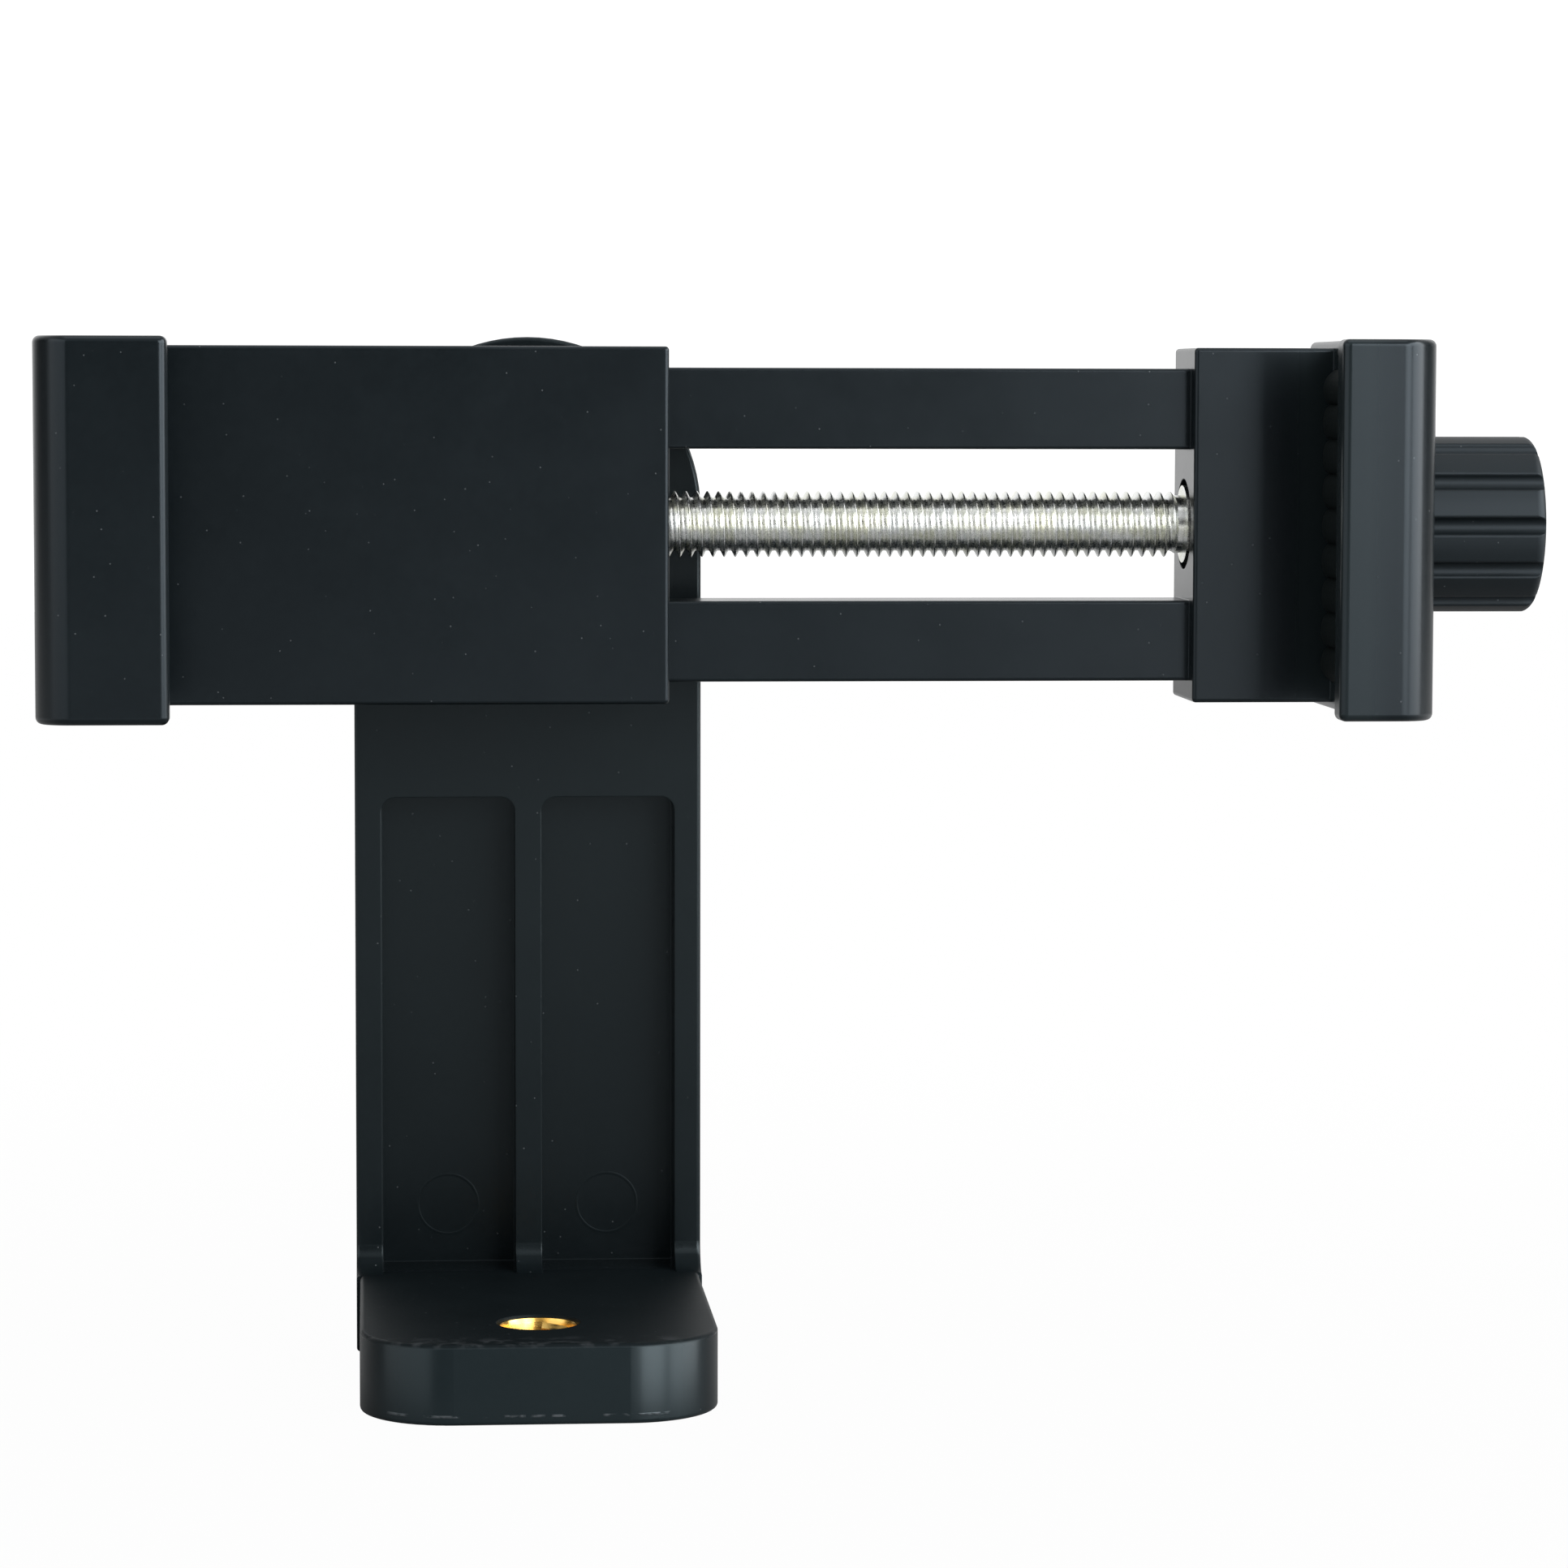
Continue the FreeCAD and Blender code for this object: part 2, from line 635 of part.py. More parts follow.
def make_swivel_nut():
    """Flanged brass nut pressed into the swivel knob."""
    flange_end = swivel_knob_front + swivel_nut_flange_thickness
    bore = (bolt_diameter + thread_clearance) / 2
    return turned([
        (swivel_knob_front, bore),
        (swivel_knob_front, swivel_nut_flange_diameter / 2),
        (flange_end, swivel_nut_flange_diameter / 2),
        (flange_end, swivel_nut_diameter / 2),
        (swivel_nut_back, swivel_nut_diameter / 2),
        (swivel_nut_back, bore),
    ], pivot, Y_AXIS)


parts = {
    "bracket": make_bracket(),
    "tripod_insert": make_tripod_insert(),
    "friction_ring": make_friction_ring(),
    "clamp_body": make_clamp_body(),
    "rear_cover": make_rear_cover(),
    "cover_screws": make_cover_screws(),
    "fixed_pad": make_pad(fixed_jaw_face, 1),
    "screw_nut": make_screw_nut(),
    "swivel_bolt": make_swivel_bolt(),
    "moving_jaw": make_moving_jaw(),
    "moving_pad": make_pad(moving_jaw_face, -1),
    "thrust_washer": make_thrust_washer(),
    "lead_screw": make_lead_screw(),
    "retaining_ring": make_retaining_ring(),
    "clamp_knob": make_clamp_knob(),
    "flat_washer": make_flat_washer(),
    "spring_washer": make_spring_washer(),
    "swivel_knob": make_swivel_knob(),
    "swivel_nut": make_swivel_nut(),
}

os.makedirs("parts", exist_ok=True)
for name, shape in parts.items():
    shape.exportStep("parts/" + name + ".step")
    print(name, "valid", shape.isValid(), "solids", len(shape.Solids), "volume", round(shape.Volume, 2))
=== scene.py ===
"""Finished look of the tripod phone mount adapter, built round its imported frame.

The frame brings every rigid piece in place. This script gives each one its finish, cuts the threads that
the frame leaves plain, moulds the rubber pads, and sets up the studio and the camera.
Lengths are in metres.
"""

import logging
import math
from dataclasses import dataclass, field
from enum import Enum

import bmesh
import bpy
from mathutils import Matrix, Vector


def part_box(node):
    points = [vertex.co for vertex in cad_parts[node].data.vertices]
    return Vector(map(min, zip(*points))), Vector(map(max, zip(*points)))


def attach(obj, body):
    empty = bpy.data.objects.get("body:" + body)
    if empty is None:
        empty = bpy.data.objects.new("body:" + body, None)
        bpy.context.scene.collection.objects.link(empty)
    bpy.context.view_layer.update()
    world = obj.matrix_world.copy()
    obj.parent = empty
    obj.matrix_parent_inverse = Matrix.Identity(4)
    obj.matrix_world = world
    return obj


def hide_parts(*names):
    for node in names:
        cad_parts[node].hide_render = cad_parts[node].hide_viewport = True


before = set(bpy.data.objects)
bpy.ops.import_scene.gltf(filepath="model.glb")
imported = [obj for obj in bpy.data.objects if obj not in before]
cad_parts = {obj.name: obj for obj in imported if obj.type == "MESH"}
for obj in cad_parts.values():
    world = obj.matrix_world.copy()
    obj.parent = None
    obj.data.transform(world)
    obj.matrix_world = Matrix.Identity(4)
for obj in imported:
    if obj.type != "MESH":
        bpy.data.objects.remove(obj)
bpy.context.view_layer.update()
MM = 0.001
MERGE_DISTANCE = 1e-7
log = logging.getLogger("adapter")

Colour = tuple[float, float, float]
Triple = tuple[float, float, float]
Socket = bpy.types.NodeSocket


class Slot(Enum):
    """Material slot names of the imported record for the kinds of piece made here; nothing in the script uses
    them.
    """

    RUBBER = "black_rubber"
    ZINC = "zinc_steel"
    BRASS = "brass"


class Axis(Enum):
    """The three directions of the frame."""

    X = (1.0, 0.0, 0.0)
    Y = (0.0, 1.0, 0.0)
    Z = (0.0, 0.0, 1.0)

    @property
    def vector(self) -> Vector:
        """Unit vector along the direction."""
        return Vector(self.value)


def map_range(tree: bpy.types.NodeTree, value: Socket, limits: tuple[float, float, float, float],
              interpolation: str = "LINEAR") -> bpy.types.Node:
    """Adds a node that spreads a value over a new range and holds it at the ends.

    Args:
        tree: the node tree that it joins.
        value: the input.
        limits: input at the low end, input at the high end, output at the low end, output at the high end.
        interpolation: how the output goes from end to end.

    Returns:
        The new node.
    """
    made = tree.nodes.new("ShaderNodeMapRange")
    made.interpolation_type = interpolation
    for key, number in zip(("From Min", "From Max", "To Min", "To Max"), limits):
        made.inputs[key].default_value = number
    tree.links.new(value, made.inputs["Value"])
    return made


class Recipe:
    """One node material under construction."""

    def __init__(self, name: str) -> None:
        """Starts an empty Principled material.

        Args:
            name: the material's name.
        """
        self.material = bpy.data.materials.new(name)
        self.material.use_nodes = True
        self.tree = self.material.node_tree
        self.shader = self.tree.nodes["Principled BSDF"]
        self.coordinates = self.tree.nodes.new("ShaderNodeTexCoord")

    def node(self, kind: str, **values: object) -> bpy.types.Node:
        """Adds a node and sets its properties.

        Args:
            kind: the node's type name without its ShaderNode prefix.
            values: properties of the node.

        Returns:
            The new node.
        """
        made = self.tree.nodes.new("ShaderNode" + kind)
        for key, value in values.items():
            setattr(made, key, value)
        return made

    def link(self, source: Socket, target: Socket) -> None:
        """Joins two sockets.

        Args:
            source: an output.
            target: an input.
        """
        self.tree.links.new(source, target)

    def mapped(self, scale: Triple) -> Socket:
        """Object coordinates, stretched.

        Args:
            scale: factor along each direction.

        Returns:
            The mapped vector.
        """
        mapping = self.node("Mapping")
        mapping.inputs["Scale"].default_value = scale
        self.link(self.coordinates.outputs["Object"], mapping.inputs["Vector"])
        return mapping.outputs["Vector"]

    def noise(self, scale: float, detail: float = 3.0, stretch: Triple = (1, 1, 1),
              roughness: float = 0.55) -> Socket:
        """Noise pattern over the piece.

        Args:
            scale: cells a metre.
            detail: number of finer layers.
            stretch: extra factor along each direction.
            roughness: strength of the finer layers.

        Returns:
            The noise value, about 0.5 on average.
        """
        texture = self.node("TexNoise")
        texture.inputs["Scale"].default_value = scale
        texture.inputs["Detail"].default_value = detail
        texture.inputs["Roughness"].default_value = roughness
        self.link(self.mapped(stretch), texture.inputs["Vector"])
        return texture.outputs["Fac"]

    def ramp(self, value: Socket, low: float, high: float, to_low: float = 0.0,
             to_high: float = 1.0) -> Socket:
        """Value between two limits, spread over a new range and held at its ends.

        Args:
            value: the input.
            low: input at which the output is to_low.
            high: input at which the output is to_high.
            to_low: output at low.
            to_high: output at high.

        Returns:
            The new value.
        """
        return map_range(self.tree, value, (low, high, to_low, to_high)).outputs["Result"]

    def smooth(self, value: Socket) -> Socket:
        """Value from 0 to 1, eased at both ends.

        Args:
            value: the input.

        Returns:
            The eased value.
        """
        return map_range(self.tree, value, (0.0, 1.0, 0.0, 1.0), "SMOOTHSTEP").outputs["Result"]

    def maths(self, operation: str, first: Socket, second: Socket | float) -> Socket:
        """Arithmetic on two values.

        Args:
            operation: the Math node's operation.
            first: a socket.
            second: a socket or a number.

        Returns:
            The result.
        """
        made = self.node("Math", operation=operation)
        self.link(first, made.inputs[0])
        if isinstance(second, (int, float)):
            made.inputs[1].default_value = second
        else:
            self.link(second, made.inputs[1])
        return made.outputs["Value"]

    def blend(self, factor: Socket, first: Socket | Colour, second: Colour,
              blend_type: str = "MIX") -> Socket:
        """Colour between two others.

        Args:
            factor: 0 for the first colour, 1 for the second.
            first: a varied colour, or linear red, green, blue.
            second: linear red, green, blue.
            blend_type: how the second colour is laid on the first.

        Returns:
            The mixed colour.
        """
        mix = self.node("Mix", data_type="RGBA", blend_type=blend_type)
        self.link(factor, mix.inputs["Factor"])
        if isinstance(first, Socket):
            self.link(first, mix.inputs["A"])
        else:
            mix.inputs["A"].default_value = (*first, 1)
        mix.inputs["B"].default_value = (*second, 1)
        return next(s for s in mix.outputs if s.name == "Result" and s.type == "RGBA")

    def overlay(self, factor: Socket, colour: Colour) -> None:
        """Lays a plain colour over the base colour so far.

        Args:
            factor: 0 shows the base colour, 1 the plain one.
            colour: linear red, green, blue.
        """
        base = self.shader.inputs["Base Color"].links[0].from_socket
        self.into("Base Color", self.blend(factor, base, colour))

    def split(self) -> tuple[Socket, Socket, Socket]:
        """The three object coordinates as separate values.

        Returns:
            The values along X, Y and Z.
        """
        made = self.node("SeparateXYZ")
        self.link(self.coordinates.outputs["Object"], made.inputs["Vector"])
        return made.outputs["X"], made.outputs["Y"], made.outputs["Z"]

    def band(self, value: Socket, middle: float, half: float, fade: float) -> Socket:
        """One inside a band of a coordinate, falling to zero outside it.

        Args:
            value: the coordinate.
            middle: the band's middle.
            half: half the band's width.
            fade: width of the fall at each side.

        Returns:
            The mask.
        """
        away = self.maths("ABSOLUTE", self.maths("SUBTRACT", value, middle), 0.0)
        return self.ramp(away, half, half + fade, 1.0, 0.0)

    def bump(self, height: Socket, distance: float, below: Socket | None = None) -> Socket:
        """Surface relief.

        Args:
            height: the relief, where 1 is highest.
            distance: how far 1 stands out, in metres.
            below: normal of a coarser relief that this one lies on.

        Returns:
            The new normal.
        """
        made = self.node("Bump")
        made.inputs["Distance"].default_value = distance
        made.inputs["Strength"].default_value = 1.0
        self.link(height, made.inputs["Height"])
        if below is not None:
            self.link(below, made.inputs["Normal"])
        return made.outputs["Normal"]

    def into(self, socket: str, value: Socket | float | tuple[float, ...]) -> None:
        """Feeds a shader socket.

        Args:
            socket: the shader input's name.
            value: a socket to link or a plain value.
        """
        target = self.shader.inputs[socket]
        if isinstance(value, Socket):
            self.link(value, target)
        else:
            target.default_value = value


@dataclass(frozen=True)
class SatinPlastic:
    """Black moulded plastic with a cool tint and a fine moulded grain."""

    name: str
    dark: Colour = (0.0020, 0.0036, 0.0044)
    light: Colour = (0.0032, 0.0052, 0.0062)
    tint: Colour = (0.76, 0.89, 1.0)
    dust: Colour = (0.10, 0.11, 0.115)
    specular: float = 0.32
    roughness: float = 0.25
    spread: float = 0.03
    edge_radius: float = 0.14 * MM
    cloud: float = 140.0
    mottle: float = 1500.0
    dust_cells: float = 700.0
    dust_core: float = 0.03
    dust_edge: float = 0.06
    dust_share: float = 0.6
    grain: float = 9000.0
    grain_depth: float = 1.2e-6

    def recipe(self) -> tuple[Recipe, Socket, Socket]:
        """Builds the finish up to its relief.

        Returns:
            The recipe, its normal and its roughness, for a piece to add to.
        """
        made = Recipe(self.name)
        cloud = made.noise(self.cloud, 4.0)
        mottle = made.noise(self.mottle, 5.0, roughness=0.7)
        tone = made.ramp(made.maths("ADD", cloud, mottle), 0.7, 1.3)
        cells = made.node("TexVoronoi")
        cells.inputs["Scale"].default_value = self.dust_cells
        made.link(made.coordinates.outputs["Object"], cells.inputs["Vector"])
        specks = made.ramp(cells.outputs["Distance"], self.dust_core, self.dust_edge, self.dust_share, 0.0)
        made.into("Base Color", made.blend(tone, self.dark, self.light))
        made.overlay(specks, self.dust)
        made.into("Specular IOR Level", self.specular)
        made.into("Specular Tint", (*self.tint, 1))
        half = self.spread / 2
        rough = made.ramp(tone, 0.0, 1.0, self.roughness - half, self.roughness + half)
        edges = made.node("Bevel", samples=6)
        edges.inputs["Radius"].default_value = self.edge_radius
        normal = made.bump(made.noise(self.grain, 2.0), self.grain_depth, below=edges.outputs["Normal"])
        return made, normal, rough

    def material(self) -> bpy.types.Material:
        """The finish as a material.

        Returns:
            The material.
        """
        made, normal, rough = self.recipe()
        made.into("Normal", normal)
        made.into("Roughness", rough)
        return made.material


@dataclass(frozen=True)
class ClampPlastic(SatinPlastic):
    """The clamp's plastic: lips whose outer corners fall away softly, and painted fill light, a lighter
    colour laid in the shade on the plate beside the moving pad.
    """

    crown_reach: float = 3.3 * MM
    crown_fall: float = 0.70 * MM
    # colour and band of the painted fill light that lightens the shade beside the moving pad
    painted_fill_light: Colour = (0.0070, 0.0104, 0.0114)
    painted_fill_half: float = 1.2 * MM
    painted_fill_fade: float = 2.2 * MM

    def material(self) -> bpy.types.Material:
        """The finish as a material, its crowns placed from the outer ends of the two jaws.

        Returns:
            The material.
        """
        made, normal, rough = self.recipe()
        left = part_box("clamp_body")[0].x
        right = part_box("moving_jaw")[1].x
        along = made.split()[0]
        from_left = made.ramp(along, left, left + self.crown_reach)
        from_right = made.ramp(along, right - self.crown_reach, right, 1.0, 0.0)
        crown = made.smooth(made.maths("MINIMUM", from_left, from_right))
        # painted fill light: lighter colour on the plate next to the moving pad, where the jaw's wall shades
        # it
        made.overlay(made.band(along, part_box("moving_pad")[0].x, self.painted_fill_half, self.painted_fill_fade), self.painted_fill_light)
        made.into("Normal", made.bump(crown, self.crown_fall, below=normal))
        made.into("Roughness", rough)
        return made.material


@dataclass(frozen=True)
class BracketPlastic(SatinPlastic):
    """The bracket's plastic: ejector marks, nicks along a parting line, nicked edges with a painted highlight
    along the foot's top edge, painted fill light on the foot's front and a dull foot.
    """

    tint: Colour = (0.77, 0.93, 1.0)
    pin_radius: float = 2.8 * MM
    pin_ring: float = 0.10 * MM
    pin_rise: float = 5.4 * MM
    pin_inset: float = 0.93
    pin_depth: float = 9.0e-6
    parting_height: float = 0.80 * MM
    parting_half: float = 0.06 * MM
    parting_fade: float = 0.08 * MM
    # band along the foot's top edge: nicks and a painted highlight on the edge's rounding
    rim_nick_and_highlight_half: float = 0.10 * MM
    rim_nick_and_highlight_fade: float = 0.35 * MM
    rim_nick_and_highlight_share: float = 0.35
    # light colour of the nicks; along the foot's top edge it is also a painted highlight
    nick_and_highlight: Colour = (0.085, 0.092, 0.10)
    nick_cells: float = 1900.0
    nick_stretch: Triple = (0.35, 0.35, 0.4)
    nick_depth: float = 25.0e-6
    nick_and_highlight_share: float = 0.6
    front_full: float = 1.2 * MM
    front_end: float = 4.0 * MM
    top_full: float = 0.4 * MM
    top_end: float = 0.2 * MM
    draft_fall: float = 0.80 * MM
    draft_power: float = 1.4
    dull_specular: float = 0.10
    dull_roughness: float = 0.25
    # colour of the painted fill light that lightens the foot's front
    painted_fill_light: Colour = (0.0065, 0.0105, 0.0122)
    edge_near: float = 0.1 * MM
    edge_far: float = 0.3 * MM

    def pin_marks(self, made: Recipe, x: Socket, y: Socket, z: Socket) -> Socket:
        """Rings that the mould's ejector pins left on the recess floors.

        Args:
            made: the recipe under construction.
            x: place across the leg.
            y: depth.
            z: height.

        Returns:
            The mask, 1 on the rings.
        """
        leg = Leg()
        low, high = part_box("bracket")
        quarter = (high.x - low.x) / 4
        up = made.maths("POWER", made.maths("SUBTRACT", z, leg.foot_top + self.pin_rise), 2.0)
        rings = []
        for side in (-1, 1):
            across = made.maths("POWER", made.maths("SUBTRACT", x, side * quarter * self.pin_inset), 2.0)
            away = made.maths("SQRT", made.maths("ADD", across, up), 0.0)
            rings.append(made.band(away, self.pin_radius, self.pin_ring / 2, self.pin_ring))
        floor = leg.recess_floor
        on_floor = made.ramp(y, floor - self.edge_far, floor - self.edge_near)
        before_back = made.ramp(y, floor + self.edge_near, floor + self.edge_far, 1.0, 0.0)
        recessed = made.maths("MULTIPLY", on_floor, before_back)
        return made.maths("MULTIPLY", made.maths("MAXIMUM", *rings), recessed)

    def material(self) -> bpy.types.Material:
        """The finish as a material, its marks placed from the bracket's own box.

        Returns:
            The material.
        """
        made, normal, rough = self.recipe()
        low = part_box("bracket")[0]
        x, y, z = made.split()
        leg = Leg()
        normal = made.bump(self.pin_marks(made, x, y, z), self.pin_depth, below=normal)

        speckle = made.ramp(made.noise(self.nick_cells, 3.0, self.nick_stretch), 0.50, 0.64)
        parting = made.band(z, self.parting_height, self.parting_half, self.parting_fade)
        # along the foot's top edge the speckles are nicks and a painted highlight on the edge's rounding
        rim = made.band(z, leg.foot_top, self.rim_nick_and_highlight_half, self.rim_nick_and_highlight_fade)
        rim = made.maths("MULTIPLY", rim, self.rim_nick_and_highlight_share)
        front = made.ramp(y, low.y + self.front_full, low.y + self.front_end, 1.0, 0.0)
        edges = made.maths("MULTIPLY", front, made.maths("ADD", parting, rim))
        nicks_and_highlight = made.maths("MULTIPLY", speckle, edges)
        normal = made.bump(nicks_and_highlight, self.nick_depth, below=normal)

        below_top = made.ramp(z, leg.foot_top - self.top_full, leg.foot_top - self.top_end, 1.0, 0.0)
        # painted fill light: lighter colour over the foot's front, below its top
        made.overlay(made.maths("MULTIPLY", front, below_top), self.painted_fill_light)
        # nick colour: real nicks along the parting line, nicks with a painted highlight along the foot's top
        # edge
        made.overlay(made.maths("MULTIPLY", nicks_and_highlight, self.nick_and_highlight_share), self.nick_and_highlight)

        on_foot = made.ramp(y, leg.front - self.edge_far, leg.front, 1.0, 0.0)
        dull = made.maths("MULTIPLY", made.maths("SUBTRACT", on_foot, below_top), on_foot)
        made.into("Specular IOR Level", made.ramp(dull, 0.0, 1.0, self.specular, self.dull_specular))
        made.into("Roughness", made.maths("ADD", rough, made.ramp(dull, 0.0, 1.0, 0.0, self.dull_roughness)))

        draft = made.maths("POWER", made.ramp(z, low.z, leg.foot_top), self.draft_power)
        made.into("Normal", made.bump(made.ramp(draft, 0.0, 1.0, 1.0, 0.0), self.draft_fall, below=normal))
        return made.material


@dataclass(frozen=True)
class ZincPlate:
    """Bright zinc plate: cool metal with cloudy, yellowish passivation and dull specks."""

    name: str
    bright: Colour = (0.94, 0.95, 0.94)
    dull: Colour = (0.72, 0.74, 0.74)
    stain: Colour = (0.90, 0.89, 0.76)
    stain_share: float = 0.8
    roughness: float = 0.19
    spread: float = 0.18
    cloud: float = 420.0
    cloud_depth: float = 4.0e-6
    speck: float = 5200.0
    speck_depth: float = 2.0e-6
    stain_cells: float = 600.0

    def material(self) -> bpy.types.Material:
        """The finish as a material.

        Returns:
            The material.
        """
        made = Recipe(self.name)
        cloud = made.noise(self.cloud, 5.0)
        speck = made.noise(self.speck, 4.0)
        tone = made.ramp(made.maths("ADD", cloud, speck), 0.75, 1.3)
        stained = made.ramp(made.noise(self.stain_cells, 3.0), 0.40, 0.65, 0.0, self.stain_share)
        plate = made.blend(tone, self.dull, self.bright)
        made.into("Base Color", made.blend(stained, plate, self.stain, "MULTIPLY"))
        made.into("Metallic", 1.0)
        made.into("Roughness", made.ramp(speck, 0.3, 0.75, self.roughness, self.roughness + self.spread))
        coarse = made.bump(cloud, self.cloud_depth)
        made.into("Normal", made.bump(speck, self.speck_depth, below=coarse))
        return made.material


@dataclass(frozen=True)
class TurnedBrass:
    """Brass with tool rings round its axis and small colour clouds."""

    name: str
    bright: Colour = (0.90, 0.62, 0.20)
    deep: Colour = (0.66, 0.38, 0.08)
    roughness: float = 0.18
    spread: float = 0.14
    cloud: float = 700.0
    rings: Triple = (300.0, 300.0, 9000.0)
    ring_depth: float = 2.5e-6

    def material(self) -> bpy.types.Material:
        """The finish as a material.

        Returns:
            The material.
        """
        made = Recipe(self.name)
        cloud = made.noise(self.cloud, 3.0)
        rings = made.noise(1.0, 2.0, self.rings)
        made.into("Base Color", made.blend(made.ramp(cloud, 0.35, 0.7), self.deep, self.bright))
        made.into("Metallic", 1.0)
        made.into("Roughness", made.ramp(rings, 0.3, 0.7, self.roughness, self.roughness + self.spread))
        made.into("Normal", made.bump(rings, self.ring_depth))
        return made.material


@dataclass(frozen=True)
class Rubber:
    """Matt black rubber with a fine chalky bloom."""

    name: str
    dark: Colour = (0.0028, 0.0048, 0.0050)
    bloom: Colour = (0.0060, 0.0088, 0.0092)
    specular: float = 0.08
    smoothest: float = 0.68
    roughest: float = 0.90
    grain: float = 2600.0
    grain_depth: float = 6.0e-6

    def material(self) -> bpy.types.Material:
        """The finish as a material.

        Returns:
            The material.
        """
        made = Recipe(self.name)
        dust = made.noise(self.grain, 5.0, roughness=0.7)
        made.into("Base Color", made.blend(made.ramp(dust, 0.45, 0.72), self.dark, self.bloom))
        made.into("Specular IOR Level", self.specular)
        made.into("Roughness", made.ramp(dust, 0.3, 0.7, self.smoothest, self.roughest))
        made.into("Normal", made.bump(dust, self.grain_depth))
        return made.material


@dataclass(frozen=True)
class DarkSteel:
    """Blackened steel with bright rubbed spots."""

    name: str
    black: Colour = (0.020, 0.021, 0.023)
    rubbed: Colour = (0.16, 0.165, 0.17)
    black_roughness: float = 0.45
    rubbed_roughness: float = 0.3
    spots: float = 3000.0
    spot_depth: float = 3.0e-6

    def material(self) -> bpy.types.Material:
        """The finish as a material.

        Returns:
            The material.
        """
        made = Recipe(self.name)
        spots = made.noise(self.spots, 4.0)
        made.into("Base Color", made.blend(made.ramp(spots, 0.58, 0.7), self.black, self.rubbed))
        made.into("Metallic", 1.0)
        made.into("Roughness", made.ramp(spots, 0.3, 0.7, self.black_roughness, self.rubbed_roughness))
        made.into("Normal", made.bump(spots, self.spot_depth))
        return made.material


def finish_piece(name: str, mesh: bmesh.types.BMesh, material: bpy.types.Material, body: str,
                 replaced: tuple[str, ...], crease_degrees: float = 35.0) -> bpy.types.Object:
    """Turns a bmesh into a piece that rides on a body.

    Args:
        name: the piece's name.
        mesh: its geometry, in place; it is freed.
        material: its finish.
        body: the body that it moves with.
        replaced: the frame's nodes that it stands for.
        crease_degrees: edges sharper than this stay sharp.

    Returns:
        The new object.
    """
    bmesh.ops.remove_doubles(mesh, verts=mesh.verts, dist=MERGE_DISTANCE)
    bmesh.ops.recalc_face_normals(mesh, faces=mesh.faces)
    limit = math.radians(crease_degrees)
    for face in mesh.faces:
        face.smooth = True
    for edge in mesh.edges:
        edge.smooth = not edge.is_manifold or edge.calc_face_angle(0.0) < limit
    data = bpy.data.meshes.new(name)
    mesh.to_mesh(data)
    mesh.free()
    data.materials.append(material)
    piece = bpy.data.objects.new(name, data)
    bpy.context.scene.collection.objects.link(piece)
    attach(piece, body)
    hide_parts(*replaced)
    log.info("%s: %d faces on %s", name, len(data.polygons), body)
    return piece


def spun(mesh: bmesh.types.BMesh, profile: list[tuple[float, float]], centre: Vector, axis: Axis,
         steps: int = 96) -> None:
    """Adds a turned shape.

    Args:
        mesh: where it goes.
        profile: closed outline as (distance along the axis, radius) pairs.
        centre: point on the axis from which distances count.
        axis: direction of the axis.
        steps: facets round it.
    """
    side = Axis.X.vector if axis is Axis.Z else Axis.Z.vector
    points = [mesh.verts.new(centre + axis.vector * along + side * radius) for along, radius in profile]
    closed = all(radius > 0 for _, radius in profile)
    pairs = list(zip(points, points[1:])) + ([(points[-1], points[0])] if closed else [])
    edges = [mesh.edges.new(pair) for pair in pairs]
    bmesh.ops.spin(mesh, geom=points + edges, cent=centre, axis=axis.vector, angle=2 * math.pi, steps=steps,
                   use_merge=True, dvec=(0, 0, 0))
    bmesh.ops.remove_doubles(mesh, verts=mesh.verts, dist=MERGE_DISTANCE)


@dataclass
class Leg:
    """Places on the bracket that its finish needs, read from the frame."""

    setback_to_back: float = 7.7 * MM
    web: float = 2.6 * MM
    foot_thickness: float = 7.0 * MM

    @property
    def foot_top(self) -> float:
        """Height of the foot's upper face."""
        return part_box("bracket")[0].z + self.foot_thickness

    @property
    def front(self) -> float:
        """Depth of the leg's front plane."""
        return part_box("bracket")[1].y - self.setback_to_back

    @property
    def recess_floor(self) -> float:
        """Depth of the recesses' floors."""
        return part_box("bracket")[1].y - self.web


